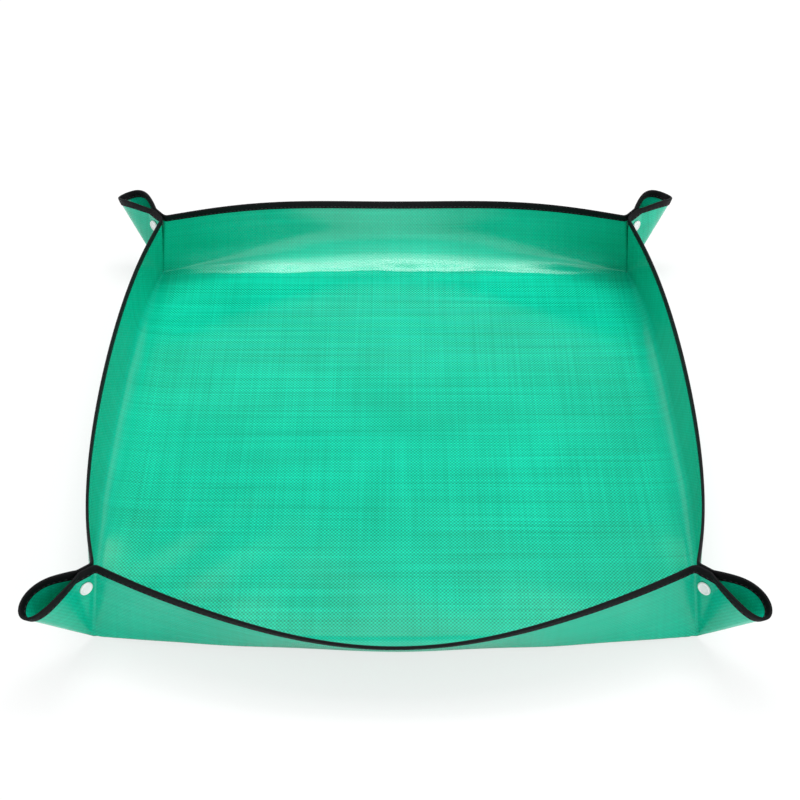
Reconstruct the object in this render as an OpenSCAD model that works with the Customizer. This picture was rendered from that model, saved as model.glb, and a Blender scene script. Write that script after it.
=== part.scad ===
// Potting soil tray: a square mat of coated woven sheet whose border folds up
// into walls, with an ear at each corner held shut by a press stud.
// Millimetres. Z is up, the floor rests on z = 0 and the tray is centred on it.
// Front is -Y, right is +X.

/* [Sheet] */
// Side of the flat square sheet
sheet_side = 500; // [400:5:600]
// Depth of the border that folds up into the walls
wall_depth = 60; // [52:1:76]
// Thickness of the coated sheet
sheet_t = 0.5; // [0.3:0.05:0.8]
// Corner radius of the flat sheet
sheet_corner_r = 38; // [24:1:44]

/* [Folded walls] */
// Outward lean of the front and back walls at mid length, degrees
lean_long = 36; // [15:1:45]
// Outward lean of the side walls at mid length, degrees
lean_side = 2; // [0:1:45]
// Turn of a wall's concave curve from bend to top, degrees
wall_curl = 10; // [0:1:24]
// Inward lean of the pinched corners, degrees
lean_corner = 10; // [2:1:14]
// How far the front and back base lines bow outward
bow_long = 0.5; // [0.5:0.5:6]
// How far the side base lines bow outward
bow_side = 0.5; // [0.5:0.5:6]
// Length of sheet in the soft bend between the floor and the front or back wall
bend_long = 20; // [6:0.5:24]
// Length of sheet in the soft bend between the floor and a side wall
bend_side = 18; // [6:0.5:24]
// Length of wall beside a corner that is drawn towards the stud
pinch_reach = 25; // [20:1:35]
// Half width of the rounded crease where a wall turns into an ear
crease_w = 3; // [2.5:0.5:5]

/* [Ears] */
// Width of the open loop at the top of an ear, between the sheet's middles
loop_w = 19; // [12:1:26]
// Lean of an ear's outer fold from the vertical, degrees
lean_spine = 38; // [34:1:48]
// Half gap between the two lips of an ear at their top edge
lip_gap = 1.05; // [1.05:0.05:1.5]

/* [Edge binding] */
// Width of the binding on each face of the sheet
tape_w = 5; // [4:0.5:7]
// Thickness of one layer of binding
tape_t = 0.65; // [0.3:0.05:0.7]

/* [Press studs] */
// Distance of a stud from the edge of the sheet
snap_inset = 13; // [12:0.5:16]
// Diameter of a cap
cap_d = 9; // [7:0.25:9.5]
// Thickness of a cap at its rim
cap_h = 1.3; // [1:0.1:1.8]
// Depth of the dish in a cap's face
dish_h = 0.5; // [0.2:0.1:0.7]
// Diameter of a cap's post
post_d = 2.4; // [2:0.1:2.6]
// Diameter of the socket and of the stud's base
body_d = 8; // [7:0.25:8.5]
// Height of the socket
socket_h = 2.2; // [2:0.1:2.8]
// Diameter of the socket's mouth
mouth_d = 4; // [4:0.1:4.4]
// Thickness of the socket's floor
socket_floor = 0.5; // [0.4:0.05:0.7]
// Thickness of the stud's base
stud_base = 0.9; // [0.7:0.1:1.3]
// Diameter of the stud's nub
nub_d = 3.6; // [3.4:0.1:3.6]
// Height of the stud's nub
nub_h = 1.5; // [1.2:0.05:1.5]

/* [Clearances] */
// Between a press stud's part and the sheet it clamps
seat_gap = 0.3; // [0.2:0.05:0.4]
// Between the socket's rim and the stud's base
face_gap = 0.3; // [0.2:0.05:0.5]
// Around a post in its bore
post_gap = 0.1; // [0.05:0.05:0.15]
// Between a cap's rim and the bends of the ear on either side of it
rim_gap = 0.2; // [0.2:0.05:0.6]

/* [Hidden] */
$fn = 64;
BODIES = ["front_left", "front_right", "back_right", "back_left"];

half = sheet_side / 2;
base = half - wall_depth;
arc_turn = 45;

// Half gap between the sheet's middles at a stud
snap_gap = (socket_h + stud_base + face_gap) / 2 + seat_gap + sheet_t / 2;
// A stud sits up the wall from the base corner, just outside the crease
snap_up = wall_depth - snap_inset;
snap_out = 0.8 * crease_w * snap_up / wall_depth + rim_gap + cap_d / 2;
snap_rho = norm([snap_up, snap_out]);
snap_psi = atan2(snap_out, snap_up);
// The lips run side by side until they are clear of the cap. The loop is the
// longer way round, so the curve's parameter runs ahead of the sheet's angle.
lip_psi = atan2(snap_out + cap_d / 2 + rim_gap, snap_up);
tau_lip = 1.15 * lip_psi / arc_turn;
// Above the stud the lips part sooner
tau_top = 0.65 * tau_lip;

function mix(a, b, t) = a + (b - a) * t;
function clamp01(t) = min(1, max(0, t));

// Top view of an ear's half, on the unit sphere about the base corner. t runs
// from the crease, 0, to the outer fold, 1: the lips run side by side, then
// swell into a teardrop loop.
span = lean_corner + lean_spine;
belly_peak = 2 / 3 * sqrt(1 / 3);
loop_rho = 1.1 * wall_depth;
belly = asin((loop_w / 2 - lip_gap) / loop_rho);
function swell(t, tau = tau_lip) = let (s = clamp01((t - tau) / (1 - tau)))
    belly * s * sqrt(1 - s) / belly_peak;

// Distance along that curve, so that the ear keeps the sheet's length
steps = 48;
function curve_t(i) = sin(90 * i / steps);
function hop(i) = norm([
    span * (curve_t(i) - curve_t(i - 1)),
    swell(curve_t(i)) - swell(curve_t(i - 1))
]);
function run(i) = i == 0 ? [0] : let (r = run(i - 1)) concat(r, [r[i - 1] + hop(i)]);
lengths = run(steps);
arc_table = [for (i = [0:steps]) [arc_turn * lengths[i] / lengths[steps], curve_t(i)]];
function ear_t(psi) = lookup(psi, arc_table);

// Lips part by this much from the ear's middle plane, f being the fraction of
// the way from the base corner to the edge
snap_from = (snap_up - cap_d / 2 - 2 * rim_gap) / wall_depth;
snap_to = 1 - tape_w / wall_depth;
function parting(f) = f < snap_from ? snap_gap * f / snap_from
    : f < snap_to ? snap_gap
    : mix(snap_gap, lip_gap, (f - snap_to) / (1 - snap_to));

// Length of an ear's ray at angle psi inside a rounded corner
function ray(psi, d, r) = let (n = [sin(psi), cos(psi)], c = [d - r, d - r])
    tan(psi) <= (d - r) / d ? d / cos(psi)
    : n * c + sqrt(r * r - c * c + pow(n * c, 2));

// A row is a distance from the floor's edge; rows are numbered from the floor
rows = 5;
tape_row = rows - 1;
function row_at(r, len, inner) = r == 0 ? 0 : r == 1 ? 0.14 * len
    : r == 2 ? 0.33 * len : r == 3 ? snap_from * len : r == 4 ? inner : len;

// Sideways direction and outward direction at a corner, in a wall's own axes:
// x along the wall, y outward
out = [1, 1, 0] / sqrt(2);
side = [-1, 1, 0] / sqrt(2);
up = [0, 0, 1];
corner = [base, base, sheet_t / 2];

function ear_point(psi, r) = psi > arc_turn
    ? let (p = ear_point(2 * arc_turn - psi, r)) [p[1], p[0], p[2]]
    : let (
        len = ray(psi, wall_depth, sheet_corner_r),
        inner = ray(psi, wall_depth - tape_w, sheet_corner_r - tape_w),
        rho = row_at(r, len, inner),
        t = ear_t(psi),
        b = span * t - lean_corner,
        tau = r == rows ? tau_top : tau_lip,
        l = swell(t, tau),
        open = parting(rho / len) * clamp01((1 - t) / (1 - tau))
    )
    corner + rho * (cos(l) * (cos(b) * up + sin(b) * out) + sin(l) * side) + open * side;

// A wall is its lean, its bow and its bend. Direction of the wall's own line at
// the corner, shared with the ear's crease
LONG = [lean_long, bow_long, bend_long];
SIDE = [lean_side, bow_side, bend_side];
corner_x = -sin(lean_corner) / sqrt(2);
corner_a = asin(corner_x / sqrt(1 - corner_x * corner_x));
// Where a line of length s ends that turns steadily from one slope to another
// over a length of len
function glide(s, len, from, to) = let (half_turn = (to - from) * s / len / 2)
    s * (abs(half_turn) < 0.001 ? 1 : sin(half_turn) / (half_turn * PI / 180))
    * [cos(from + half_turn), sin(from + half_turn)];

function wall_point(u, r, wall) =
    let (
        t = clamp01(abs(u) / base),
        foot = base + wall[1] * (1 - t * t),
        len = half - foot,
        s = row_at(r, len, len - tape_w),
        a = mix(corner_a, wall[0], (cos(90 * t) + pow(cos(90 * t), 2)) / 2),
        gx = corner_x * pow(t, 2),
        curl = wall_curl / 2 * (1 - t * t),
        arc = wall[2] * (1 - pow(t, 4)) + 0.01,
        p = glide(min(s, arc), arc, 0, 90 - a - curl)
            + glide(max(s - arc, 0), len - arc, 90 - a - curl, 90 - a + curl),
        near = pow(clamp01(1 - (base - abs(u)) / pinch_reach), 2)
    )
    [abs(u) + gx * s, foot + p[0], sheet_t / 2 + p[1] * sqrt(1 - gx * gx)]
        + near * parting(s / len) * side;

// A point at distance q past the crease, measured along a row; before the
// crease q is negative and the point lies in the wall
function raw_point(q, r, wall) = q <= 0
    ? wall_point(base + q, r, wall)
    : ear_point(q / wall_depth * 180 / PI, r);
WINDOW = [[-1, 1], [-0.5, 2], [0, 2], [0.5, 2], [1, 1]];
function sum(v, i = 0) = i == len(v) - 1 ? v[i] : v[i] + sum(v, i + 1);
function shell_point(q, r, wall) = let (w = crease_w * r / rows)
    abs(q) < w && r > 0
    ? sum([for (k = WINDOW) k[1] / 8 * raw_point(q + w * k[0], r, wall)])
    : raw_point(q, r, wall);

// Columns of one half wall and its half ear, from mid wall to the outer fold
spine_q = arc_turn * PI / 180 * wall_depth;
lip_q = lip_psi * PI / 180 * wall_depth;
WALL_COLS = [for (k = [1, 0.76, 0.5, 0.26, 0.1]) -base * k];
crease_c = len(WALL_COLS) + 1;
COLS = concat(
    WALL_COLS,
    [-crease_w * 0.8, 0, crease_w * 0.8],
    [for (k = [0, 0.25, 0.48, 0.68, 0.84, 0.95, 1]) mix(lip_q, spine_q, k)]
);
m = len(COLS) - 1;
ring = 8 * m;

// Column c of the whole ring, which runs clockwise from above: the back, right,
// front and left sides, each from outer fold to outer fold
function on_side(p, k) = k == 0 ? p : k == 1 ? [p[1], -p[0], p[2]]
    : k == 2 ? [-p[0], -p[1], p[2]] : [-p[1], p[0], p[2]];
function ring_point(c, r) =
    let (
        cc = (c + ring) % ring,
        k = floor(cc / (2 * m)),
        j = cc - k * 2 * m - m,
        p = shell_point(COLS[abs(j)], r, k % 2 == 0 ? LONG : SIDE),
        q = [sign(j) * p[0] + (j == 0 ? p[0] : 0), p[1], p[2]]
    )
    on_side(j == 0 ? [0, p[1], p[2]] : q, k);

GRID = [for (c = [0:ring - 1]) [for (r = [0:rows]) ring_point(c, r)]];
function at(c, r) = GRID[(c + ring) % ring][r];
function unit(v) = v / norm(v);
// Direction through the sheet, towards the inside of the tray
function inward(c, r) = r == 0 ? up
    : unit(cross(at(c + 1, r) - at(c - 1, r), at(c, min(r + 1, rows)) - at(c, r - 1)));
NORMALS = [for (c = [0:ring - 1]) [for (r = [0:rows]) inward(c, r)]];
function layer(c, r, w) = GRID[c][r] + w * NORMALS[c][r];
// Past the sheet's edge by a distance x
function beyond(c, w, x) = layer(c, rows, w)
    + x * unit(GRID[c][rows] - GRID[c][rows - 1]);

// Faces of the binding, swept round the ring by its closed section of n points.
// Points 5 to 0 line the sheet, with the sheet's own diagonals.
function sweep_faces(n) = [
    for (c = [0:ring - 1]) let (d = (c + 1) % ring)
        for (i = [0:n - 1]) let (k = (i + 1) % n, a = c * n + i, b = c * n + k, e = d * n + k, f = d * n + i)
            each i < 6 ? [[a, b, e], [a, e, f]] : [[a, b, f], [b, e, f]]
];

module mat_solid() {
    // Inner face rows 0 to 5, then outer face rows 5 to 0
    pts = concat(
        [for (c = [0:ring - 1]) for (r = [0:rows]) layer(c, r, sheet_t / 2)],
        [for (c = [0:ring - 1]) for (r = [0:rows]) layer(c, r, -sheet_t / 2)]
    );
    n = rows + 1;
    o = ring * n;
    // Every ray of an ear starts at the same point of the floor
    owner = function (c) let (k = floor(c / (2 * m)), j = c - k * 2 * m)
        j <= m - crease_c ? k * 2 * m : j >= m + crease_c ? ((k + 1) * 2 * m) % ring : c;
    foot = function (c) owner(c) * n;
    quads = [
        for (c = [0:ring - 1]) let (d = (c + 1) % ring) for (r = [0:rows - 1])
            let (
                a = r == 0 ? foot(c) : c * n + r,
                b = r == 0 ? foot(d) : d * n + r,
                e = d * n + r + 1,
                f = c * n + r + 1
            )
            each a == b ? [[a, f, e], [o + a, o + e, o + f]]
                : [[a, e, b], [a, f, e], [o + a, o + b, o + e], [o + a, o + e, o + f]]
    ];
    rim = [
        for (c = [0:ring - 1]) let (d = (c + 1) % ring, a = c * n + rows, b = d * n + rows)
            each [[a, o + b, b], [a, o + a, o + b]]
    ];
    loop = [for (c = [0:ring - 1]) if (owner(c) == c) c * n];
    underside = [for (i = [len(loop) - 1:-1:0]) o + loop[i]];
    polyhedron(pts, concat(quads, rim, [loop, underside]), convexity = 10);
}

module mat_sheet()
    color("mediumseagreen")
        difference() {
            mat_solid();
            for (a = CORNER_ANGLES) at_snap(a)
                cylinder(d = post_d + 4 * post_gap, h = 4 * snap_gap, center = true);
        }

module edge_binding()
    color("black") {
        w = sheet_t / 2;
        pts = [for (c = [0:ring - 1]) each [
            layer(c, tape_row, w),
            layer(c, tape_row, w + tape_t),
            beyond(c, w + tape_t, tape_t),
            beyond(c, -w - tape_t, tape_t),
            layer(c, tape_row, -w - tape_t),
            layer(c, tape_row, -w),
            layer(c, rows, -w),
            layer(c, rows, w)
        ]];
        polyhedron(pts, sweep_faces(8), convexity = 10);
    }

// Middle of a press stud on the ear's middle plane; local +Z leaves the plane
// towards the half that carries the stud
CORNER_ANGLES = [225, 315, 45, 135];
snap_b = span * ear_t(snap_psi) - lean_corner;
module at_snap(a)
    rotate([0, 0, a])
        translate([
            base * sqrt(2) + snap_rho * sin(snap_b), 0, sheet_t / 2 + snap_rho * cos(snap_b)
        ])
            rotate([90, 0, 0]) children();

// Heights above the ear's middle plane
sheet_in = snap_gap - sheet_t / 2 - seat_gap;
sheet_out = snap_gap + sheet_t / 2 + seat_gap;
mouth_z = socket_h - sheet_in;
nub_z = sheet_in - stud_base - nub_h;
rivet_h = 0.3;
bevel = 0.35;
neck = 0.1;

// A cap's flange with its dished face, and its post riveted over at inner_z
module cap(inner_z, rivet_d) {
    edge = 0.35 * cap_h;
    rim_r = cap_d / 2 - 0.28 * cap_d / 2;
    top = sheet_out + cap_h;
    rotate_extrude()
        polygon([
            [0, inner_z],
            [rivet_d / 2, inner_z],
            [rivet_d / 2, inner_z + rivet_h],
            [post_d / 2, inner_z + rivet_h],
            [post_d / 2, sheet_out],
            [cap_d / 2, sheet_out],
            [cap_d / 2, top - edge * 1.6],
            [cap_d / 2 - edge * 0.3, top - edge * 0.7],
            [cap_d / 2 - edge, top - edge * 0.15],
            [cap_d / 2 - edge * 1.8, top],
            [rim_r, top - edge * 0.2],
            [rim_r - edge, top - dish_h],
            [0, top - dish_h]
        ]);
}

// Stud: a base against the sheet and a nub that presses into the socket
module stud_body()
    rotate_extrude()
        polygon([
            [post_d / 2 + post_gap, sheet_in],
            [body_d / 2, sheet_in],
            [body_d / 2, sheet_in - stud_base * 0.6],
            [body_d / 2 - bevel, sheet_in - stud_base],
            [nub_d / 2 - neck, sheet_in - stud_base],
            [nub_d / 2 - neck, nub_z + nub_h * 0.55],
            [nub_d / 2, nub_z + nub_h * 0.4],
            [nub_d / 2, nub_z + nub_h * 0.25],
            [nub_d / 2 - bevel / 2, nub_z],
            [post_d / 2 + post_gap, nub_z]
        ]);

// Socket: a ring whose mouth takes the nub, with a floor that the post rivets
module socket_body()
    mirror([0, 0, 1])
        rotate_extrude()
            polygon([
                [post_d / 2 + post_gap, sheet_in],
                [body_d / 2, sheet_in],
                [body_d / 2, bevel - mouth_z],
                [body_d / 2 - bevel, -mouth_z],
                [mouth_d / 2 + bevel, -mouth_z],
                [mouth_d / 2, bevel - mouth_z],
                [mouth_d / 2, sheet_in - socket_floor],
                [post_d / 2 + post_gap, sheet_in - socket_floor]
            ]);

module stud_cap(a)
    color("white") at_snap(a) cap(nub_z + 0.1, post_d);
module stud(a)
    color("whitesmoke") at_snap(a) stud_body();
module socket_cap(a)
    color("white") at_snap(a) mirror([0, 0, 1])
        cap(sheet_in - socket_floor - post_gap / 2 - rivet_h, mouth_d - 0.4);
module socket(a)
    color("whitesmoke") at_snap(a) socket_body();

mat_sheet();
edge_binding();
for (i = [0:3]) {
    stud_cap(CORNER_ANGLES[i]);
    stud(CORNER_ANGLES[i]);
    socket_cap(CORNER_ANGLES[i]);
    socket(CORNER_ANGLES[i]);
}
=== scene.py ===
# %% [markdown]
# # A potting tray folded from one square of coated woven sheet
# The CAD frame holds every solid of the tray at its real size. Here it gets its looks: a sheet that
# really bends, a sewn edge tape, press studs, light and a camera. We load the frame first, because
# its press studs stay and the middle of the dressed sheet rides on its tray.

# %% Load the frame
import math
import bpy
import mathutils
import numpy as np
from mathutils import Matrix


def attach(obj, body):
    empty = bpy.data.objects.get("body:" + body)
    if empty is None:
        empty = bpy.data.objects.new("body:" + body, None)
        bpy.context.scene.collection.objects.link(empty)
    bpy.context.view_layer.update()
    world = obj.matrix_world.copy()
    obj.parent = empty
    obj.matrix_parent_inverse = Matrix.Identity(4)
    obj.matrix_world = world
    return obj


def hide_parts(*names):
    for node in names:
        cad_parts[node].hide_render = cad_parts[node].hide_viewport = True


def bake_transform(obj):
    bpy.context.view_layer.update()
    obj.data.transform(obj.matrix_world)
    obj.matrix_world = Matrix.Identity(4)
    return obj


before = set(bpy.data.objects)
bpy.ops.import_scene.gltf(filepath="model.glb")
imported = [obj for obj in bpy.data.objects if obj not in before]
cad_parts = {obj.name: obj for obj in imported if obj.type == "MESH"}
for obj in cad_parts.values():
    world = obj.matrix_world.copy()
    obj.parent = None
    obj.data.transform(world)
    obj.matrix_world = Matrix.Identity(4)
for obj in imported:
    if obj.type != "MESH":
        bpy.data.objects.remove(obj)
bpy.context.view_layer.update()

# %% [markdown]
# The camera comes first, since all later choices are judged through it. A
# picture of a square from above and in front fixes it: the floor's four corners
# give its height and distance, and a long lens keeps the walls nearly parallel.
# A small shift moves the object in the frame without turning the camera.

# %% Camera
elevation = math.radians(43.0)
distance = 1.0627
camera_data = bpy.data.cameras.new("camera")
camera_data.lens = 66.0
camera_data.sensor_width = 36.0
camera_data.shift_x = 0.006
camera_data.shift_y = 0.038
camera = bpy.data.objects.new("camera", camera_data)
bpy.context.scene.collection.objects.link(camera)
camera.location = (0, -distance * math.cos(elevation), distance * math.sin(elevation))
camera.rotation_euler = (math.pi / 2 - elevation, 0, 0)
bpy.context.scene.camera = camera
print("camera at", tuple(round(x, 3) for x in camera.location))


# %% [markdown]
# Materials are small node graphs. Two helpers keep them readable: one turns an
# sRGB hex colour, as a designer writes it, into the linear values that shaders
# use, and one adds a node with its settings and links in a single line.

# %% Helpers for colours and nodes
def ink(text):
    """An sRGB colour such as #0AB485 as linear RGBA."""
    parts = [int(text[i:i + 2], 16) / 255 for i in (1, 3, 5)]
    return tuple(p / 12.92 if p <= 0.04045 else ((p + 0.055) / 1.055) ** 2.4 for p in parts) + (1,)


def node(tree, kind, inputs=None, **settings):
    """Adds a node; inputs are values or sockets by name or index."""
    made = tree.nodes.new("ShaderNode" + kind)
    for key, value in settings.items():
        setattr(made, key, value)
    for key, value in (inputs or {}).items():
        if isinstance(value, bpy.types.NodeSocket):
            tree.links.new(value, made.inputs[key])
        else:
            made.inputs[key].default_value = value
    return made


def maths(tree, operation, a, b=0.0):
    """The result of one Math node, as a socket."""
    return node(tree, "Math", {0: a, 1: b}, operation=operation).outputs[0]


def material(name):
    """A new material and its empty node tree."""
    made = bpy.data.materials.new(name)
    made.use_nodes = True
    made.node_tree.nodes.clear()
    return made, made.node_tree


print("a mid grey is", round(ink("#808080")[0], 3), "in linear light")

# %% [markdown]
# ## The fold
# The mat is one flat square, 500 mm wide. Its border of 60 mm stands up, and at
# each corner the spare cloth leaves the tray as an ear: two lips side by side
# that open into a teardrop loop. Cloth like this bends but doesn't stretch, so
# every point is described by where it was on the flat square. One function
# carries a flat point to its folded place, with the sizes of the CAD model.

# %% Sizes of the fold, in millimetres and degrees
HALF, DEPTH, THICK, CORNER_R = 250.0, 60.0, 0.5, 38.0
BASE = HALF - DEPTH
LONG = dict(lean=36.0, bow=0.5, bend=20.0)
SIDE = dict(lean=2.0, bow=0.5, bend=18.0)
CURL, LEAN_CORNER, LEAN_SPINE, LOOP_W = 10.0, 10.0, 38.0, 19.0
CREASE_W, PINCH_REACH, LIP_GAP, TAPE_W, TAPE_T = 3.0, 25.0, 1.05, 5.0, 0.65
STUD_INSET, CAP_D, RIM_GAP, SEAT_GAP, STUD_STACK = 13.0, 9.0, 0.2, 0.3, 3.4
# An eighth of a full turn: the flat angle from a crease to the outer fold
EAR_TURN = 45.0
stud_up = DEPTH - STUD_INSET
stud_out = 0.8 * CREASE_W * stud_up / DEPTH + RIM_GAP + CAP_D / 2
lip_psi = math.degrees(math.atan2(stud_out + CAP_D / 2 + RIM_GAP, stud_up))
TAU_LIP = 1.15 * lip_psi / EAR_TURN
TAU_TOP = 0.65 * TAU_LIP
stud_gap = STUD_STACK / 2 + SEAT_GAP + THICK / 2
print("floor side", 2 * BASE, "mm, a stud stands", stud_up, "mm up the wall")

# %% [markdown]
# Seen from above, half an ear is a curve on a sphere about the base corner. It
# starts straight, where the lips run side by side, and then swells into the loop. We
# measure the length of that curve, so that the cloth's own angle, not the
# curve's parameter, decides where a point lands: that keeps it from stretching.

# %% The teardrop of an ear
SPAN = LEAN_CORNER + LEAN_SPINE
BELLY = math.degrees(math.asin((LOOP_W / 2 - LIP_GAP) / (1.1 * DEPTH)))
BELLY_PEAK = 2 / 3 * math.sqrt(1 / 3)


def swell(t, tau=TAU_LIP):
    """Degrees that a lip swings aside, at t from 0 at the crease to 1 at the fold."""
    s = np.clip((t - tau) / (1 - tau), 0, 1)
    return BELLY * s * np.sqrt(1 - s) / BELLY_PEAK


CURVE_STEPS = 48
curve = np.sin(np.radians(90 * np.arange(CURVE_STEPS + 1) / CURVE_STEPS))
hops = np.hypot(SPAN * np.diff(curve), np.diff(swell(curve)))
curve_angle = EAR_TURN * np.concatenate([[0], np.cumsum(hops)]) / hops.sum()


def ear_ray(psi, reach, radius):
    """Length of an ear's ray at angle psi, inside the rounded corner."""
    straight = reach / np.cos(psi)
    centre = reach - radius
    across = centre * (np.sin(psi) + np.cos(psi))
    rounded = across + np.sqrt(np.maximum(radius ** 2 - 2 * centre ** 2 + across ** 2, 0))
    return np.where(np.tan(psi) <= centre / reach, straight, rounded)


# Between these heights the press stud's body keeps the lips flat and apart
FLAT_FROM = (stud_up - CAP_D / 2 - 2 * RIM_GAP) / DEPTH
FLAT_TO = 1 - TAPE_W / DEPTH
# At the crease the lips are pressed to a slit, from 7 mm before it to 3 mm after
SLIT = 0.4
PRESS_AT, PRESS_SHARE = (-7, -1.5, 0.6, 3), (0, 1, 0.9, 0)


def parting(f, q):
    """How far each lip stands off the ear's middle at height f, q mm past the crease."""
    open_lips = np.interp(f, [0, FLAT_FROM, FLAT_TO, 1], [0, stud_gap, stud_gap, LIP_GAP])
    squeezed = np.interp(f, [0, FLAT_FROM, FLAT_TO - 0.05, FLAT_TO, 1],
                         [0, SLIT, SLIT, LIP_GAP, LIP_GAP])
    return open_lips + (squeezed - open_lips) * np.interp(q, PRESS_AT, PRESS_SHARE)


def ear_point(psi, f):
    """Place on an ear: psi in radians from the crease, f from 0 at its foot to 1."""
    rho = f * ear_ray(psi, DEPTH, CORNER_R)
    t = np.interp(np.degrees(psi), curve_angle, curve)
    tau = np.interp(f, [FLAT_TO, 1], [TAU_LIP, TAU_TOP])
    b, l = np.radians(SPAN * t - LEAN_CORNER), np.radians(swell(t, tau))
    opened = parting(f, psi * DEPTH * f) * np.clip((1 - t) / (1 - tau), 0, 1)
    outward = rho * np.cos(l) * np.sin(b) / math.sqrt(2)
    sideways = (rho * np.sin(l) + opened) / math.sqrt(2)
    return np.stack([BASE + outward - sideways, BASE + outward + sideways,
                     THICK / 2 + rho * np.cos(l) * np.cos(b)], -1)


print("belly of the loop:", round(BELLY, 2), "degrees")


# %% [markdown]
# A wall rises from the floor in a soft bend and curls a little inward. In the
# middle it leans out, and towards the corners it is drawn in by the stud, so
# its lean is a smooth mix along its length.

# %% The walls
def glide(s, length, start, stop):
    """Where a line of length s ends that turns steadily over a length."""
    half_turn = (stop - start) * s / length / 2
    angle = np.radians(half_turn)
    chord = s * np.sinc(angle / np.pi)
    way = np.radians(start + half_turn)
    return chord * np.cos(way), chord * np.sin(way)


def wall_foot(u, wall):
    """Distance of the floor's edge from the middle, u along the wall."""
    t = np.clip(u / BASE, 0, 1)
    return BASE + wall["bow"] * (1 - t * t)


def wall_point(u, f, wall):
    """Place on a wall: u along it from its middle, f from 0 at the floor to 1."""
    t = np.clip(u / BASE, 0, 1)
    foot = wall_foot(u, wall)
    length = HALF - foot
    s = f * length
    corner_x = -math.sin(math.radians(LEAN_CORNER)) / math.sqrt(2)
    corner_lean = math.degrees(math.asin(corner_x / math.sqrt(1 - corner_x ** 2)))
    ease = np.cos(np.pi / 2 * t)
    lean = corner_lean + (wall["lean"] - corner_lean) * (ease + ease ** 2) / 2
    gx = corner_x * t ** 2
    curl = CURL / 2 * (1 - t * t)
    # Never quite 0, because glide divides by it
    arc = wall["bend"] * (1 - t ** 4) + 0.01
    n1, z1 = glide(np.minimum(s, arc), arc, 0, 90 - lean - curl)
    n2, z2 = glide(np.maximum(s - arc, 0), length - arc, 90 - lean - curl, 90 - lean + curl)
    near = np.clip(1 - (BASE - u) / PINCH_REACH, 0, 1) ** 2 * parting(f, u - BASE) / math.sqrt(2)
    return np.stack([u + gx * s - near, foot + n1 + n2 + near,
                     THICK / 2 + (z1 + z2) * np.sqrt(1 - gx ** 2)], -1)


print("a side wall's top stands at", wall_point(np.array([0.0]), np.array([1.0]), SIDE).round(1))


# %% [markdown]
# The crease between wall and ear isn't sharp: we average the two surfaces over
# a few millimetres. Then one function folds any flat point: it looks at one
# eighth of the square and mirrors the answer to the other seven.

# %% Folding a flat point
# Where the crease is averaged, in half widths, and with which weight
CREASE_TAPS = ((-1, 1), (-0.5, 2), (0, 2), (0.5, 2), (1, 1))
TAP_SUM = 8


def raw_point(q, f, wall):
    """q is the distance past the crease: wall before it, ear after it."""
    in_wall = wall_point(np.minimum(BASE + q, BASE), f, wall)
    in_ear = ear_point(np.clip(q / DEPTH, 0, math.pi / 4), f)
    return np.where((q <= 0)[:, None], in_wall, in_ear)


def fold_eighth(x, y, wall):
    """Folds flat points of the eighth where 0 <= x <= y, with their wall."""
    foot = wall_foot(x, wall)
    dx, dy = np.maximum(x - BASE, 0), np.maximum(y - BASE, 1e-9)
    psi = np.arctan2(dx, dy)
    in_ear = x > BASE
    q = np.where(in_ear, psi * DEPTH, x - BASE)
    f = np.where(in_ear, np.hypot(dx, dy) / ear_ray(psi, DEPTH, CORNER_R),
                 np.maximum(y - foot, 0) / (HALF - foot))
    width = CREASE_W * f
    soft = raw_point(q, f, wall)
    near = np.abs(q) < width
    if near.any():
        qn, fn, wn = q[near], f[near], width[near]
        soft[near] = sum(weight / TAP_SUM * raw_point(qn + wn * k, fn, wall)
                         for k, weight in CREASE_TAPS)
    flat = np.stack([x, y, np.full_like(x, THICK / 2)], -1)
    return np.where((f > 0)[:, None], soft, flat)


def fold(u, v):
    """Flat millimetres on the square to folded millimetres."""
    a, b = np.abs(u), np.abs(v)
    out = np.empty((len(u), 3))
    for wall, chosen, swap in ((LONG, b >= a, False), (SIDE, b < a, True)):
        x, y = (b, a) if swap else (a, b)
        p = fold_eighth(x[chosen], y[chosen], wall)
        out[chosen] = p[:, [1, 0, 2]] if swap else p
    out[:, 0] *= np.where(u < 0, -1, 1)
    out[:, 1] *= np.where(v < 0, -1, 1)
    return out


NEAR_TIP = np.array([HALF - 12])
ear_tip = fold(NEAR_TIP, NEAR_TIP)
print("outer fold of an ear near its top:", ear_tip.round(1))

# %% [markdown]
# ## The sheet as a mesh
# A plane could be subdivided by hand and bent with modifiers, but no modifier
# knows an ear. So the grid is laid out flat in code, fine where the cloth bends
# and coarser on the floor. Its corners are rounded by pulling each ray in, and
# that leaves the rows of the grid unbroken.

# %% Lay out the flat grid
FLOOR_FINE = BASE - 30
BORDER_CELLS, BEND_CELLS, FLOOR_CELLS = 40, 20, 64


def stretch(start, stop, count):
    """Starts of so many even steps, without the last end."""
    return np.linspace(start, stop, count + 1)[:-1]


lines = np.concatenate([
    stretch(-HALF, -BASE, BORDER_CELLS), stretch(-BASE, -FLOOR_FINE, BEND_CELLS),
    stretch(-FLOOR_FINE, FLOOR_FINE, FLOOR_CELLS), stretch(FLOOR_FINE, BASE, BEND_CELLS),
    stretch(BASE, HALF, BORDER_CELLS), [HALF]])
cells = len(lines) - 1
grid_u, grid_v = (g.ravel() for g in np.meshgrid(lines, lines, indexing="ij"))


def round_corners(u, v):
    """Pulls the square's corners in to their radius."""
    dx, dy = np.abs(u) - BASE, np.abs(v) - BASE
    corner = (dx > 0) & (dy > 0)
    psi = np.arctan2(np.minimum(dx, dy), np.maximum(dx, dy))
    pull = np.where(corner, ear_ray(psi, DEPTH, CORNER_R) / (DEPTH / np.cos(psi)), 1)
    u = np.where(corner, np.sign(u) * (BASE + dx * pull), u)
    v = np.where(corner, np.sign(v) * (BASE + dy * pull), v)
    return u, v


flat_u, flat_v = round_corners(grid_u, grid_v)
print("grid of", cells, "by", cells, "cells")

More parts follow.
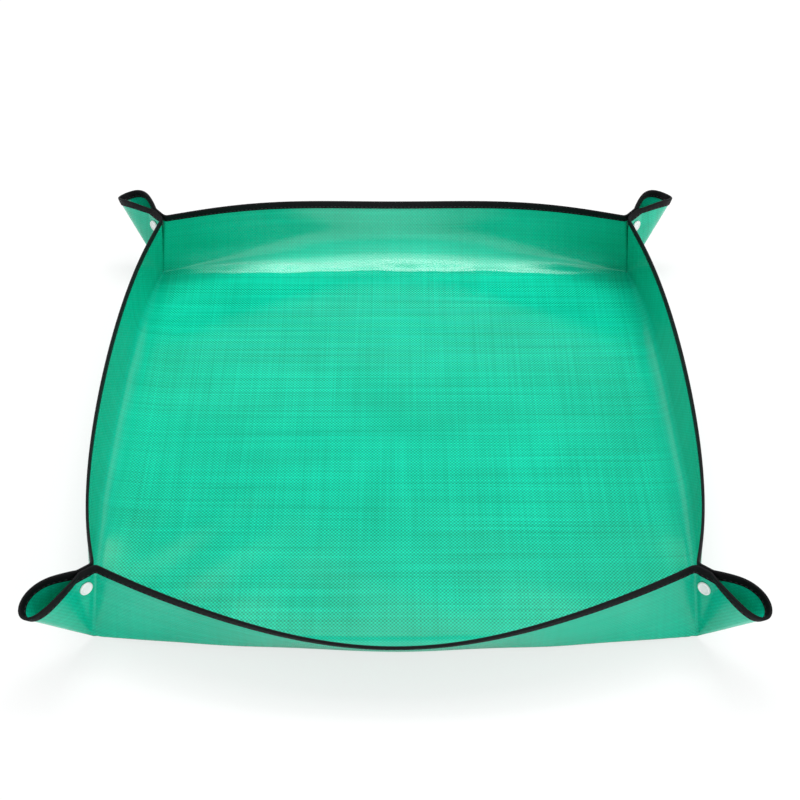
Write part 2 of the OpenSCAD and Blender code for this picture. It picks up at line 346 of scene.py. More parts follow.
# %% [markdown]
# Coated cloth never lies quite flat. A cloth simulation could shake it out, but
# the tape couldn't follow points that aren't known beforehand. So the height
# over the plain fold is a sum of a few known shapes. Long shallow waves run in
# random directions, weaker on the back wall. A soft roll lies at the foot of
# each side wall, higher on the left. At the back a fold line rises where the
# wall leaves the floor, and a slack hollow lies above it: this pair mirrors the
# lamp as the bright band. A few fine ripples cross the front left of the floor.
# All but the ripples fade out at the studs, the lips and the tape.

# %% Waves, rolls and slack, in millimetres
WAVE_COUNT, SHORTEST, LONGEST = 14, 38.0, 120.0
WAVE_SUM, WAVE_LIFT = 3.2, 1.6
WALL_WAVE, FLOOR_WAVE, BACK_SHARE = 0.4, 0.2, 0.3
RIGHT_ROLL, LEFT_ROLL, ROLL_AT, ROLL_WIDTH = 1.4, 2.6, 3.0, 15.0
RIPPLE, RIPPLE_U, RIPPLE_V, RIPPLE_REACH, RIPPLE_LENGTH = 0.16, -130.0, -105.0, 60.0, 8.5
# Height, length and phase of the two waves that the fold line wanders by
WANDER = ((0.9, 17.0, 0), (0.5, 7.3, 1))
# The back roll at mid wall, and what is added to each value towards the ends
ENDS_FROM, ENDS_TO, HOLLOW_WIDTH = 60.0, 150.0, 12.0
BACK_SHAPE = dict(start=(0.0, 3.5), rise=(0.48, 0.16), width=(8.5, 1.5),
                  hollow_at=(30.0, -11.0), hollow=(2.7, -0.7))


def fade(x, none, full):
    """0 where x is at none, 1 where it is at full, straight between, flat beyond."""
    return np.clip((x - none) / (full - none), 0, 1)


def loose_waves(u, v):
    """A sum of long waves in seeded directions, up to about 1.8 to each side."""
    rng = np.random.default_rng(7)
    total = np.zeros_like(u)
    for _ in range(WAVE_COUNT):
        way = rng.uniform(0, math.pi)
        length = rng.uniform(SHORTEST, LONGEST)
        phase = rng.uniform(0, 2 * math.pi)
        total += np.sin(2 * math.pi * (u * math.cos(way) + v * math.sin(way)) / length
                        + phase) * length / LONGEST
    return total / WAVE_SUM


def side_roll(u, deep, along):
    """The roll at the foot of a side wall."""
    height = np.where(u > 0, RIGHT_ROLL, LEFT_ROLL)
    hill = np.exp(-((deep - ROLL_AT) / ROLL_WIDTH) ** 2)
    return height * hill * fade(along, BASE - 10, BASE - 80)


def back_roll(u, deep):
    """The fold line at the back bend, less the slack hollow above it."""
    au = np.abs(u)
    to_end = fade(au, ENDS_FROM, ENDS_TO)
    to_end *= to_end * (3 - 2 * to_end)
    here = {key: middle + change * to_end for key, (middle, change) in BACK_SHAPE.items()}
    wander = sum(height * np.sin(u / length + phase) for height, length, phase in WANDER)
    past = np.maximum(deep + here["start"] + wander, 0)
    fold_line = here["rise"] * past * np.exp(-past / here["width"])
    hollow = np.exp(-((deep - here["hollow_at"]) / HOLLOW_WIDTH) ** 2)
    slack = here["hollow"] * hollow * fade(deep, 0, 8)
    return (fold_line - slack) * fade(au, BASE - 1, BASE - 23)


def ripples(u, v):
    """Fine ripples on the front left of the floor."""
    off_centre = ((u - RIPPLE_U) / RIPPLE_REACH) ** 2 + ((v - RIPPLE_V) / RIPPLE_REACH) ** 2
    return RIPPLE * (1 + np.sin((u - v) / RIPPLE_LENGTH)) * np.exp(-off_centre)


def waves(u, v):
    """Height of the cloth over the plain fold; it dips under the floor by 0.04 mm at most."""
    au, av = np.abs(u), np.abs(v)
    deep, along = np.maximum(au, av) - BASE, np.minimum(au, av)
    loose = loose_waves(u, v)
    on_wall = fade(deep, 0, 15) * fade(deep, 54, 34) * fade(along, BASE - 20, BASE - 60)
    on_wall *= np.where(v >= au, BACK_SHARE, 1)
    on_floor = fade(deep, 24, 0) * fade(along, BASE + 12, BASE - 18)
    return (WALL_WAVE * loose * on_wall + FLOOR_WAVE * (loose + WAVE_LIFT) * on_floor
            + side_roll(u, deep, along) * (au > av)
            + back_roll(u, deep) * (v >= au - 4) + ripples(u, v))


heights = waves(flat_u, flat_v)
print("cloth's height over the plain fold:",
      heights.min().round(2), "to", heights.max().round(2), "mm")

# %% [markdown]
# Now the grid folds in one call. The waves stand on the surface's normals, so
# the normals are worked out twice: once for the plain fold, to carry the waves,
# and once for the finished surface, to shade it smoothly.

# %% Fold the grid
def surface(u, v, heights, shape):
    """Folded points and unit normals, towards the tray's inside, on a grid."""
    p = fold(u, v).reshape(*shape, 3)
    for height in (heights.reshape(shape), None):
        across, along = np.gradient(p, axis=0), np.gradient(p, axis=1)
        n = np.cross(across, along)
        n /= np.maximum(np.linalg.norm(n, axis=2, keepdims=True), 1e-9)
        if height is not None:
            p = p + n * height[..., None]
    return p, n


sheet_p, sheet_n = surface(flat_u, flat_v, heights, (cells + 1, cells + 1))
points_grid, normals_grid = sheet_p.reshape(-1, 3), sheet_n.reshape(-1, 3)
print("sheet spans", points_grid.min(0).round(1), "to", points_grid.max(0).round(1))

# %% [markdown]
# When a stud is pulled open, each half of an ear swings about the outer fold
# and drags a little of its wall along. A mesh can bend between two bodies only
# across one joint, so the sheet is cut where nobody sees it: along the four
# outer folds, along the floor's edge beside them, and across the walls 60 mm
# from each corner. The nine parts share one set of normals, so no seam shows.

# %% Which cell belongs to which part
DRAGGED = 60.0
CUT = BASE - DRAGGED
CORNERS = {"front_left": (-1, -1), "front_right": (1, -1),
           "back_right": (1, 1), "back_left": (-1, 1)}


def part_of(u, v):
    """Name of the part at a flat point: tray, or a corner with y or x wall."""
    a, b = abs(u), abs(v)
    if max(a, b) < BASE or min(a, b) < CUT:
        return "tray"
    corner = next(k for k, s in CORNERS.items() if s == (math.copysign(1, u), math.copysign(1, v)))
    return corner + ("_y" if b > a else "_x")


def swing(piece, part):
    """Puts a part of the soft mat on the tray; a corner part only has its place baked into its
    mesh.
    """
    if part == "tray":
        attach(piece, "tray")
        return
    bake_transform(piece)


faces = {}
for i in range(cells):
    for j in range(cells):
        ring = [(i, j), (i + 1, j), (i + 1, j + 1), (i, j + 1)]
        mid_u, mid_v = (lines[i] + lines[i + 1]) / 2, (lines[j] + lines[j + 1]) / 2
        # A cell on an ear's diagonal holds the outer fold, so it is split along it
        if abs(abs(mid_u) - abs(mid_v)) < 1e-6 and abs(mid_u) > BASE:
            if mid_u * mid_v > 0:
                split = [[ring[0], ring[1], ring[2]], [ring[0], ring[2], ring[3]]]
            else:
                split = [[ring[0], ring[1], ring[3]], [ring[1], ring[2], ring[3]]]
            for tri in split:
                cu = sum(lines[a] for a, _ in tri) / 3
                cv = sum(lines[b] for _, b in tri) / 3
                faces.setdefault(part_of(cu, cv), []).append(tri)
        else:
            faces.setdefault(part_of(mid_u, mid_v), []).append(ring)
print({k: len(v) for k, v in faces.items()})


# %% [markdown]
# Each part becomes a closed shell: the middle surface moved half a thickness
# both ways along its normals, and a narrow rim around it. Its UV map holds the
# flat coordinates in metres, so a weave follows the cloth through every fold.

# %% Shells with thickness
def link(name, mesh):
    """A new object at the origin that shows the mesh."""
    made = bpy.data.objects.new(name, mesh)
    bpy.context.scene.collection.objects.link(made)
    return made


def shell(name, points, normals, flat, polys, thick):
    """A closed sheet in metres, from points in millimetres and their faces."""
    n = len(points)
    top = points + normals * thick / 2
    under = points - normals * thick / 2
    edges = {}
    for poly in polys:
        for a, b in zip(poly, poly[1:] + poly[:1]):
            edges[(a, b)] = edges.get((a, b), 0) + 1
    border = [(a, b) for a, b in edges if (b, a) not in edges]
    every = [list(p) for p in polys] + [[n + i for i in reversed(p)] for p in polys]
    every += [[b, a, n + a, n + b] for a, b in border]
    mesh = bpy.data.meshes.new(name)
    mesh.from_pydata(np.vstack([top, under]) / 1000, [], every)
    uv = mesh.uv_layers.new(name="flat")
    loops = np.empty(len(mesh.loops), dtype=np.int32)
    mesh.loops.foreach_get("vertex_index", loops)
    uv.uv.foreach_set("vector", (np.vstack([flat, flat])[loops] / 1000).astype(np.float32).ravel())
    mesh.polygons.foreach_set("use_smooth", [True] * len(mesh.polygons))
    mesh.normals_split_custom_set_from_vertices(np.vstack([normals, -normals]))
    mesh.validate()
    return link(name, mesh)


flat_grid = np.stack([flat_u, flat_v], -1)
mat_parts = {}
for part, polys in faces.items():
    index = [[a * (cells + 1) + b for a, b in poly] for poly in polys]
    used = np.unique(np.concatenate([np.array(p) for p in index]))
    place = np.full((cells + 1) ** 2, -1)
    place[used] = np.arange(len(used))
    local = [[int(place[i]) for i in p] for p in index]
    mat_parts[part] = shell("sheet_" + part, points_grid[used], normals_grid[used],
                            flat_grid[used], local, THICK)
print("sheet parts:", len(mat_parts))

# %% [markdown]
# ## The edge tape
# A woven tape is folded over the cut edge and sewn through all layers. A curve
# with a bevel would give a tape that twists freely, while this one lies on the
# sheet. So it is swept in code: at each step round the rounded square the flat
# edge is known, and the fold function gives its place and its direction.

# %% The edge of the flat square
STRAIGHT = HALF - CORNER_R
EAR_FROM = BASE - 20
steps = np.concatenate([
    stretch(0, CUT, 30), stretch(CUT, EAR_FROM, 16), stretch(EAR_FROM, STRAIGHT, 28),
    STRAIGHT + CORNER_R * np.radians(np.linspace(0, EAR_TURN, 21))])
side_steps = np.concatenate([-steps[:0:-1], steps[:-1]])
RUN = steps[-1]
# Rows of the tape, in millimetres in from the edge
SEAM = 3.8
insets = np.array([0, 0.5, 1.2, 2.4, SEAM, TAPE_W])
MIDDLE_ROW, SEAM_ROW = 3, 4


def edge_flat(way, inset, side):
    """Flat place at a distance along one side from its middle, and inset."""
    a = np.abs(way)
    turn = np.clip((a - STRAIGHT) / CORNER_R, 0, None)
    x = np.minimum(a, STRAIGHT) + (CORNER_R - inset) * np.sin(turn)
    y = STRAIGHT + (CORNER_R - inset) * np.cos(turn)
    x = x * np.where(way < 0, -1, 1)
    return [(x, y), (y, -x), (-x, -y), (-y, x)][side]


ring_way = np.concatenate([side_steps + 2 * RUN * k for k in range(4)])
ring_u, ring_v = [], []
for side in range(4):
    for way in side_steps:
        u, v = edge_flat(np.full(len(insets), way), insets, side)
        ring_u.append(u)
        ring_v.append(v)
ring_u, ring_v = np.array(ring_u), np.array(ring_v)
ring_p = fold(ring_u.ravel(), ring_v.ravel()).reshape(*ring_u.shape, 3)
along = np.roll(ring_p, -1, 0) - np.roll(ring_p, 1, 0)
inward = np.gradient(ring_p, insets, axis=1)
ring_n = np.cross(inward, along)
ring_n /= np.linalg.norm(ring_n, axis=2, keepdims=True)
outward = -inward[:, 0] / np.linalg.norm(inward[:, 0], axis=1, keepdims=True)
print("edge length", round(8 * RUN), "mm; normal at the back's middle",
      ring_n[len(steps) - 1, 0].round(2))

# %% [markdown]
# The tape's section is what makes it look woven and sewn instead of printed on.
# Its face is slightly crowned, the thread pulls it in to a groove, its inner
# border is rounded, and it turns round the sheet's edge in a half circle. The
# section is a short list of points, with the half circle worked out.

# %% The tape's section
FILM = 0.02
skin = THICK / 2 + FILM
CROWN = (2.3, 0.70)
# Distance in from the edge and height over the sheet, both in millimetres
face_line = [(TAPE_W, 0.22), (4.97, 0.44), (4.75, 0.60), (4.3, 0.62), (SEAM, 0.46), (3.3, 0.64),
             CROWN, (1.2, 0.68), (0.4, 0.64)]
section = [(a, skin + h, 0) for a, h in face_line]
TURN_STEPS = 8
for k in range(1, TURN_STEPS):
    bow = math.radians(90 - 180 * k / TURN_STEPS)
    section.append((0, (skin + TAPE_T) * math.sin(bow), (skin + TAPE_T) * math.cos(bow)))
section += [(a, -skin - h, 0) for a, h in reversed(face_line)]
# Back along the sheet: the tape's inner side
section += [(TAPE_W, -skin, 0), (0.0, -skin, 0), (0.0, 0, skin), (0.0, skin, 0), (TAPE_W, skin, 0)]
across = np.cumsum([0] + [math.dist(section[k], section[k + 1]) for k in range(len(section) - 1)])


def on_edge(i, inset, height, out):
    """A point of the tape at step i of the ring."""
    k = np.searchsorted(insets, inset, side="right") - 1
    k = min(max(k, 0), len(insets) - 2)
    t = (inset - insets[k]) / (insets[k + 1] - insets[k])
    p = ring_p[i, k] * (1 - t) + ring_p[i, k + 1] * t
    n = ring_n[i, k] * (1 - t) + ring_n[i, k + 1] * t
    return p + height * n / np.linalg.norm(n) + out * outward[i]


print("points in the tape's section:", len(section))

# %% [markdown]
# The tape is cut where the sheet is cut, so each stretch of it goes with the part of the sheet that
# it is sewn to. We sort its steps by the part under its middle, and join neighbouring steps to
# unbroken runs.

# %% Stretches of tape
ring_parts = {}
total_steps = len(ring_way)
for i in range(total_steps):
    j = (i + 1) % total_steps
    name = part_of((ring_u[i, MIDDLE_ROW] + ring_u[j, MIDDLE_ROW]) / 2,
                   (ring_v[i, MIDDLE_ROW] + ring_v[j, MIDDLE_ROW]) / 2)
    ring_parts.setdefault(name, []).append(i)


def runs_of(indices):
    """Neighbouring steps as unbroken runs, also across the ring's start."""
    runs = []
    for i in sorted(indices):
        if runs and i == runs[-1][-1] + 1:
            runs[-1].append(i)
        else:
            runs.append([i])
    if len(runs) > 1 and runs[0][0] == 0 and runs[-1][-1] == total_steps - 1:
        runs[0] = runs.pop() + runs[0]
    return [r + [(r[-1] + 1) % total_steps] for r in runs]


print("steps of tape in each part:", {k: len(v) for k, v in ring_parts.items()})

# %% [markdown]
# The section is set on every step at once, and the normals are taken from that
# whole closed ring. Each stretch then gets its own mesh with those normals, so
# the light runs over the cuts without a seam, and its ends are closed.

# %% Sweep the tape
all_spots = np.array([[on_edge(i, *spot) for spot in section] for i in range(total_steps)])
round_the_section = np.roll(all_spots, -1, 1) - np.roll(all_spots, 1, 1)
round_the_tray = np.roll(all_spots, -1, 0) - np.roll(all_spots, 1, 0)
all_normals = np.cross(round_the_tray, round_the_section)
all_normals /= np.maximum(np.linalg.norm(all_normals, axis=2, keepdims=True), 1e-9)
middle_of_face = face_line.index(CROWN)
if (all_normals[0, middle_of_face] @ ring_n[0, MIDDLE_ROW]) < 0:
    all_normals = -all_normals


def sweep(name, runs):
    """One mesh for all stretches of tape in a part, closed at each end."""
    verts, polys, uvs, normals = [], [], [], []
    m = len(section)
    for run in runs:
        start = len(verts)
        for i in run:
            verts += list(all_spots[i])
        for r in range(len(run) - 1):
            for k in range(m):
                after = (k + 1) % m
                a, b = start + r * m + k, start + r * m + after
                polys.append([a, a + m, b + m, b])
                normals += [all_normals[run[r], k], all_normals[run[r + 1], k],
                            all_normals[run[r + 1], after], all_normals[run[r], after]]
                w0 = ring_way[run[r]]
                w1 = w0 + (ring_way[run[r + 1]] - w0) % (8 * RUN)
                c0, c1 = across[k], across[k] + math.dist(section[k], section[after])
                uvs += [(w0, c0), (w1, c0), (w1, c1), (w0, c1)]
        polys.append([start + k for k in range(m)])
        polys.append([start + (len(run) - 1) * m + k for k in reversed(range(m))])
        uvs += [(0, c) for c in across] * 2
        ends = round_the_tray[[run[0], run[-1]], middle_of_face]
        ends /= np.linalg.norm(ends, axis=1, keepdims=True)
        normals += [-ends[0]] * m + [ends[1]] * m
    mesh = bpy.data.meshes.new(name)
    mesh.from_pydata(np.array(verts) / 1000, [], polys)
    uv = mesh.uv_layers.new(name="flat")
    uv.uv.foreach_set("vector", (np.array(uvs) / 1000).astype(np.float32).ravel())
    mesh.polygons.foreach_set("use_smooth", [True] * len(mesh.polygons))
    mesh.normals_split_custom_set([tuple(n) for n in normals])
    return link(name, mesh)


tape_parts = {part: sweep("tape_" + part, runs_of(indices)) for part, indices in ring_parts.items()}
print({k: len(o.data.polygons) for k, o in tape_parts.items()})

# %% [markdown]
# ## The stitches
# A seam of lock stitches runs round the tape and shows on both of its faces. A
# bump map could fake it, but thread stands out and catches the light. Hundreds
# of stitches repeat, so each is only a small spindle, half sunk in the groove,
# with a gap where the needle went down.

# %% A line to sew along
STITCH, PITCH, THREAD = 2.5, 3.2, 0.34
SEAM_HEIGHT = 0.52
ring_length = 8 * RUN
stitch_count = round(ring_length / PITCH)
ring_order = np.argsort(ring_way % ring_length)
sorted_way = (ring_way % ring_length)[ring_order]


def sewn(way, face):
    """Place, normal and part of the seam at a distance round the edge."""
    k = np.searchsorted(sorted_way, way % ring_length, side="right") - 1
    after = (k + 1) % total_steps
    i, j = ring_order[k], ring_order[after]
    gone = (way - sorted_way[k]) % ring_length
    t = gone / ((sorted_way[after] - sorted_way[k]) % ring_length)
    height = face * (skin + SEAM_HEIGHT)
    p = on_edge(i, SEAM, height, 0) * (1 - t) + on_edge(j, SEAM, height, 0) * t
    n = face * (ring_n[i, SEAM_ROW] * (1 - t) + ring_n[j, SEAM_ROW] * t)
    at_u = (1 - t) * ring_u[i, MIDDLE_ROW] + t * ring_u[j, MIDDLE_ROW]
    at_v = (1 - t) * ring_v[i, MIDDLE_ROW] + t * ring_v[j, MIDDLE_ROW]
    return p, n / np.linalg.norm(n), part_of(at_u, at_v)


print("a stitch every", PITCH, "mm,", stitch_count, "on each face")

# %% [markdown]
# A stitch is three small rings of thread, widest in its middle, and two points
# that dive into the cloth. It is built from its middle, its direction and the
# cloth's normal, and goes into the list of the part that it is sewn to.

# %% Sew the tape
SIDES, DIVE = 6, 0.15
# Place along the stitch and share of the thread's width, for each ring
SPINDLE = ((-0.3, 0.8), (0, 1.0), (0.3, 0.8))


def add_stitch(verts, polys, middle, direction, normal):
    """Adds one spindle of thread to a list of points and faces."""
    sideways = np.cross(normal, direction)
    first = len(verts)
    verts.append(middle - direction * STITCH / 2 - normal * DIVE)
    for shift, fat in SPINDLE:
        for c in range(SIDES):
            turn = 2 * math.pi * c / SIDES
            verts.append(middle + direction * STITCH * shift
                         + fat * THREAD / 2 * (math.cos(turn) * sideways + math.sin(turn) * normal))
    verts.append(middle + direction * STITCH / 2 - normal * DIVE)
    last_ring = first + 1 + 2 * SIDES
    for c in range(SIDES):
        d = (c + 1) % SIDES
        polys.append([first, first + 1 + d, first + 1 + c])
        for low in (first + 1, first + 1 + SIDES):
            polys.append([low + c, low + d, low + SIDES + d, low + SIDES + c])
        polys.append([last_ring + SIDES, last_ring + c, last_ring + d])


thread = {}
for face in (1, -1):
    for k in range(stitch_count):
        way = (k + 0.5) * ring_length / stitch_count
        middle, normal, part = sewn(way, face)
        ends = [sewn(way + d, face)[0] for d in (-STITCH / 2, STITCH / 2)]
        direction = ends[1] - ends[0]
        direction /= np.linalg.norm(direction)
        add_stitch(*thread.setdefault(part, ([], [])), middle, direction, normal)
stitch_parts = {}
for part, (verts, polys) in thread.items():
    mesh = bpy.data.meshes.new("stitches_" + part)
    mesh.from_pydata(np.array(verts) / 1000, [], polys)
    mesh.polygons.foreach_set("use_smooth", [True] * len(mesh.polygons))
    stitch_parts[part] = link("stitches_" + part, mesh)
print(2 * stitch_count, "stitches of", STITCH, "mm")

# %% [markdown]
# ## The coated sheet's finish
# Flat tapes of plastic, a little over 1 mm wide, are woven and coated. A picture of the weave could
# be laid on, but a formula stays sharp from near. Each crossing is a small cushion, so the weave is
# a product of two sine waves on the flat coordinates. It shapes the bump, and it is painted into
# the colour as highlight and shade: lighter on the tops of the crossings, darker in the gaps
# between them.

# %% The weave
WARP, WEFT = 1.2, 1.4
sheet_finish, tree = material("coated_woven_sheet")
uv = node(tree, "UVMap", uv_map="flat")
split = node(tree, "SeparateXYZ", {0: uv.outputs[0]})
u_mm = maths(tree, "MULTIPLY", split.outputs[0], 1000.0)
v_mm = maths(tree, "MULTIPLY", split.outputs[1], 1000.0)
wave_u = maths(tree, "SINE", maths(tree, "MULTIPLY", u_mm, math.pi / WARP))
wave_v = maths(tree, "SINE", maths(tree, "MULTIPLY", v_mm, math.pi / WEFT))
weave = maths(tree, "MULTIPLY", wave_u, wave_v)
print("weave of", WARP, "by", WEFT, "mm tapes")

# %% [markdown]
# Single tapes differ a little in tone, which shows as long faint streaks along
# and across the cloth. A noise gives them: it is read slowly along a tape, and
# far apart from one tape to the next. A softer noise clouds the whole sheet.

# %% Streaks
SLOW_U, SLOW_V, JUMP_U, JUMP_V = 0.006, 0.008, 5.17, 7.31
STREAK_U, STREAK_V, CLOUD = 0.55, 0.3, 0.3
row_u = maths(tree, "FLOOR", maths(tree, "DIVIDE", u_mm, WARP))
row_v = maths(tree, "FLOOR", maths(tree, "DIVIDE", v_mm, WEFT))
along_u = node(tree, "CombineXYZ", {0: maths(tree, "MULTIPLY", u_mm, SLOW_U),
                                    1: maths(tree, "MULTIPLY", row_v, JUMP_V)})
along_v = node(tree, "CombineXYZ", {0: maths(tree, "MULTIPLY", row_u, JUMP_U),
                                    1: maths(tree, "MULTIPLY", v_mm, SLOW_V)})
streak_u = node(tree, "TexNoise", {"Vector": along_u.outputs[0], "Scale": 1.0, "Detail": 1.0})
streak_v = node(tree, "TexNoise", {"Vector": along_v.outputs[0], "Scale": 1.0, "Detail": 1.0})
cloud = node(tree, "TexNoise", {"Vector": uv.outputs[0], "Scale": 14.0, "Detail": 2.0})


def around_zero(noise, share):
    """A noise that swings by half its share to both sides of nothing."""
    return maths(tree, "MULTIPLY", maths(tree, "SUBTRACT", noise.outputs[0], 0.5), share)


streaks = maths(tree, "ADD", around_zero(streak_u, STREAK_U), around_zero(streak_v, STREAK_V))
print("streaks up to", STREAK_U / 2, "of the tone to each side")

# %% [markdown]
# On the walls the weave's painted highlight and shade, and the streaks, show less than on the
# floor, because the cloth is flattened where it was folded and is seen at a flat angle. So both
# fade over the foot of the walls. The tone picks a green from a ramp, and the coating is a smooth
# plastic, which mirrors the lamps softly.

# %% Sheet material
SHOWN_FLOOR, SHOWN_WALL, STREAKY_WALL, FADE_REACH = 0.45, 0.1, 0.5, 12
reach = maths(tree, "MAXIMUM", maths(tree, "ABSOLUTE", u_mm), maths(tree, "ABSOLUTE", v_mm))
foot_range = {0: reach, 1: BASE - FADE_REACH, 2: BASE + FADE_REACH}
# How strongly the weave's painted highlight and shade shows: full on the floor, faint on the walls.
weave_shade_share = node(tree, "MapRange", {**foot_range, 3: SHOWN_FLOOR, 4: SHOWN_WALL})
streaky = node(tree, "MapRange", {**foot_range, 3: 1.0, 4: STREAKY_WALL})
# Painted highlight and shade: the tone is lighter on the tops of the weave's crossings and darker
# in the gaps between them.
weave_highlight_shade = maths(tree, "MULTIPLY", weave, weave_shade_share.outputs[0])
streak_tone = maths(tree, "MULTIPLY", streaks, streaky.outputs[0])
soft_tone = maths(tree, "ADD", streak_tone, around_zero(cloud, CLOUD))
tone = maths(tree, "ADD", weave_highlight_shade, soft_tone)
ramp = node(tree, "ValToRGB", {0: maths(tree, "ADD", tone, 0.5)})
ramp.color_ramp.elements[0].color = ink("#017E5C")
ramp.color_ramp.elements[1].color = ink("#10E8C0")
middle_tone = ramp.color_ramp.elements.new(0.5)
middle_tone.color = ink("#05B895")
bump = node(tree, "Bump", {"Height": weave, "Distance": 0.00003, "Strength": 1.0})
shader = node(tree, "BsdfPrincipled", {
    "Base Color": ramp.outputs[0], "Roughness": 0.2, "Normal": bump.outputs[0],
    "Specular IOR Level": 0.4})
node(tree, "OutputMaterial", {0: shader.outputs[0]})
for piece in mat_parts.values():
    piece.data.materials.append(sheet_finish)
print("green sheet on", len(mat_parts), "parts")

# %% [markdown]
# ## Tape and thread
# The binding is a black woven tape. Two crossed sets of fine ribs stand for its
# yarn, on the tape's own length and width, and it is dull, so that it stays
# black under the lamps. The thread is lighter and a little glossier, so a
# raking light finds the stitches.

# %% Tape and thread materials
YARN = 0.7
tape_finish, tree = material("black_woven_tape")
uv = node(tree, "UVMap", uv_map="flat")
split = node(tree, "SeparateXYZ", {0: uv.outputs[0]})
s_mm = maths(tree, "MULTIPLY", split.outputs[0], 1000.0)
c_mm = maths(tree, "MULTIPLY", split.outputs[1], 1000.0)
slanted = maths(tree, "ADD", c_mm, maths(tree, "MULTIPLY", s_mm, 0.5))
rib = maths(tree, "SINE", maths(tree, "MULTIPLY", s_mm, 2 * math.pi / YARN))
cross_rib = maths(tree, "SINE", maths(tree, "MULTIPLY", slanted, 2 * math.pi / YARN))
yarn = maths(tree, "MULTIPLY", rib, cross_rib)
worn = node(tree, "TexNoise", {"Vector": uv.outputs[0], "Scale": 180.0, "Detail": 3.0})
tone = maths(tree, "ADD", maths(tree, "MULTIPLY", yarn, 0.25), worn.outputs[0])
ramp = node(tree, "ValToRGB", {0: tone})
ramp.color_ramp.elements[0].color = ink("#030304")
ramp.color_ramp.elements[1].color = ink("#0E0E11")
bump = node(tree, "Bump", {"Height": yarn, "Distance": 0.00006, "Strength": 0.8})
shader = node(tree, "BsdfPrincipled", {
    "Base Color": ramp.outputs[0], "Roughness": 0.62, "Normal": bump.outputs[0],
    "Specular IOR Level": 0.12})
node(tree, "OutputMaterial", {0: shader.outputs[0]})
thread_finish, tree = material("black_thread")
where = node(tree, "TexCoord")
twist = node(tree, "TexNoise", {"Vector": where.outputs["Object"], "Scale": 2500.0, "Detail": 1.0})
ramp = node(tree, "ValToRGB", {0: twist.outputs[0]})
ramp.color_ramp.elements[0].color = ink("#141316")
ramp.color_ramp.elements[1].color = ink("#3A383E")
shader = node(tree, "BsdfPrincipled", {"Base Color": ramp.outputs[0], "Roughness": 0.42})
node(tree, "OutputMaterial", {0: shader.outputs[0]})
for piece in tape_parts.values():
    piece.data.materials.append(tape_finish)
for piece in stitch_parts.values():
    piece.data.materials.append(thread_finish)
print("tape ribs every", YARN, "mm")

# %% [markdown]
# ## The press studs
# The caps, studs and sockets are right as solids, so they stay. They are
# moulded plastic: white, a little glossy, with the faint mottling of a moulded
# surface. It is set on Object coordinates, so it sits still on each solid.

# %% Stud material
stud_finish, tree = material("white_moulded_plastic")
where = node(tree, "TexCoord")
mottle = node(tree, "TexNoise", {"Vector": where.outputs["Object"], "Scale": 900.0, "Detail": 2.0})
ramp = node(tree, "ValToRGB", {0: mottle.outputs[0]})
ramp.color_ramp.elements[0].color = ink("#EFEEEF")
ramp.color_ramp.elements[1].color = ink("#FBFBFB")
bump = node(tree, "Bump", {"Height": mottle.outputs[0], "Distance": 0.00002, "Strength": 0.3})
shader = node(tree, "BsdfPrincipled", {
    "Base Color": ramp.outputs[0], "Roughness": 0.3, "Normal": bump.outputs[0]})
node(tree, "OutputMaterial", {0: shader.outputs[0]})
stud_solids = [solid for name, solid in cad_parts.items()
               if name not in ("mat_sheet", "edge_binding")]
for solid in stud_solids:
    solid.data.materials.clear()
    solid.data.materials.append(stud_finish)
print("white plastic on", len(stud_solids), "solids")

# %% [markdown]
# ## Bodies
# The middle of the mat, with its tape and stitches, now rides on the tray. The eight ear parts keep
# their place, baked into their meshes, and the CAD sheet and binding are hidden. Each is declared
# with its flat size in metres: the whole square,
# less the ear parts' area, for the middle, and 120 by 60 mm for an ear part.

# %% Ride on the tray
for part, piece in mat_parts.items():
    swing(piece, part)
    swing(tape_parts[part], part)
    swing(stitch_parts[part], part)
    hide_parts("mat_sheet")
    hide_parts("edge_binding")
print("declared", len(mat_parts), "parts of one sheet")

# %% [markdown]
# ## Floor and light
# A catalogue picture has a white ground. A white background alone would lose the
# shadow that sets the tray down, so a plain pale floor takes it. Near the tray
# the camera sees some of the floor and some pure white, and further away only
# white, so no horizon shows.

# %% Floor
FLOOR_SIDE = 12.0
WHITE_FROM, WHITE_TO, WHITE_SHARE = 0.5, 1.3, 0.7


def plane(name, width, height, place, turn=(0, 0, 0)):
    """A flat rectangle with its place kept in its mesh."""
    bpy.ops.object.select_all(action="DESELECT")
    bpy.ops.mesh.primitive_plane_add(size=1, location=place, rotation=turn)
    made = bpy.context.object
    made.name = made.data.name = name
    made.scale = (width, height, 1)
    bpy.ops.object.transform_apply(location=True, rotation=True, scale=True)
    return made


floor = plane("floor", FLOOR_SIDE, FLOOR_SIDE, (0, 0, 0))
floor_finish, tree = material("pale_floor")
plain = node(tree, "BsdfDiffuse", {"Color": ink("#F4F4F4")})
white = node(tree, "Emission", {"Color": (1, 1, 1, 1), "Strength": 1.0})
where = node(tree, "TexCoord")
away = node(tree, "VectorMath", {0: where.outputs["Object"]}, operation="LENGTH")
faded = node(tree, "MapRange", {0: away.outputs["Value"], 1: WHITE_FROM, 2: WHITE_TO,
                                3: WHITE_SHARE, 4: 1.0})
share = maths(tree, "MULTIPLY", node(tree, "LightPath").outputs["Is Camera Ray"], faded.outputs[0])
seen = node(tree, "MixShader", {0: share, 1: plain.outputs[0], 2: white.outputs[0]})
node(tree, "OutputMaterial", {0: seen.outputs[0]})
floor.data.materials.append(floor_finish)
print("floor of", FLOOR_SIDE, "m, white from", WHITE_TO, "m on")

# %% [markdown]
# The room around the tray is white. The camera and the plastic's mirrors see it
# at full white, while the light that it gives is about half of that, so that the
# lamps still shape the folds.

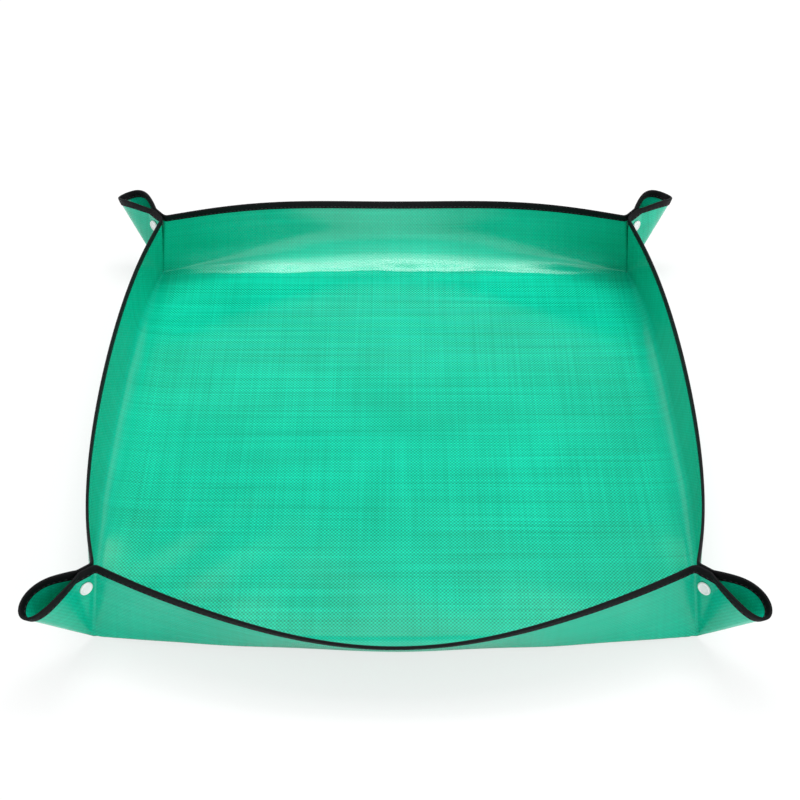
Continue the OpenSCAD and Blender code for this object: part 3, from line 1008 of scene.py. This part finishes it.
# %% World
ROOM_LIGHT = 0.55
world = bpy.data.worlds.new("studio")
bpy.context.scene.world = world
world.use_nodes = True
tree = world.node_tree
tree.nodes.clear()
paths = node(tree, "LightPath")
seen = maths(tree, "MAXIMUM", paths.outputs["Is Camera Ray"],
             maths(tree, "MAXIMUM", paths.outputs["Is Glossy Ray"],
                   paths.outputs["Is Transmission Ray"]))
strength = maths(tree, "ADD", ROOM_LIGHT, maths(tree, "MULTIPLY", seen, 1 - ROOM_LIGHT))
sky = node(tree, "Background", {"Color": (1, 1, 1, 1), "Strength": strength})
node(tree, "OutputWorld", {0: sky.outputs[0]})
print("room light", ROOM_LIGHT)

# %% [markdown]
# Three wide lamps hang in a row over the tray and look straight down. One big
# lamp would light it evenly, but the back bend mirrors what hangs over it, so
# the row grows stronger to the back: the rear lamp gives the bright band, the
# next one lights the band's ends, and the front one only lifts the floor. A
# large weak lamp at the front right fills the outer front wall.

# %% Lamps
LAMP_X, LAMP_Z, LAMP_WIDTH = 0.1, 2.2, 1.6
# Name, distance to the back, depth and watts
OVERHEAD = (("back_softbox", 0.975, 0.45, 28.0), ("middle_softbox", 0.375, 0.75, 15.0),
            ("top_softbox", -0.45, 0.9, 2.5))


def lamp(name, place, size, power, target=(0, 0, 0)):
    """A rectangular lamp of so many watts that looks at its target."""
    data = bpy.data.lights.new(name, "AREA")
    data.shape = "RECTANGLE"
    data.size, data.size_y = size
    data.energy = power
    made = bpy.data.objects.new(name, data)
    bpy.context.scene.collection.objects.link(made)
    made.location = place
    aim = mathutils.Vector(target) - made.location
    made.rotation_euler = aim.to_track_quat("-Z", "Y").to_euler()


for name, back, depth, power in OVERHEAD:
    lamp(name, (LAMP_X, back, LAMP_Z), (LAMP_WIDTH, depth), power, target=(LAMP_X, back, 0))
lamp("front_fill", (1.3, -2.6, 1.5), (4.4, 2.6), 38.0)

# %% [markdown]
# The coating on the floor of the tray would mirror the white room and turn
# milky. So a black card hangs where that mirror looks, behind and above the
# tray and out of the camera's sight, as it is done for glossy goods.

# %% Black card
CARD_WIDTH, CARD_BACK, CARD_LOW, CARD_HIGH = 4.4, 2.6, 2.0, 5.0
card = plane("black_card", CARD_WIDTH, CARD_HIGH - CARD_LOW,
             (0, CARD_BACK, (CARD_LOW + CARD_HIGH) / 2), turn=(math.pi / 2, 0, 0))
card_finish, tree = material("black_card")
plain = node(tree, "BsdfDiffuse", {"Color": ink("#101010")})
node(tree, "OutputMaterial", {0: plain.outputs[0]})
card.data.materials.append(card_finish)
bpy.context.scene.view_settings.view_transform = "Standard"
print("card from", CARD_LOW, "to", CARD_HIGH, "m up,", CARD_BACK, "m back")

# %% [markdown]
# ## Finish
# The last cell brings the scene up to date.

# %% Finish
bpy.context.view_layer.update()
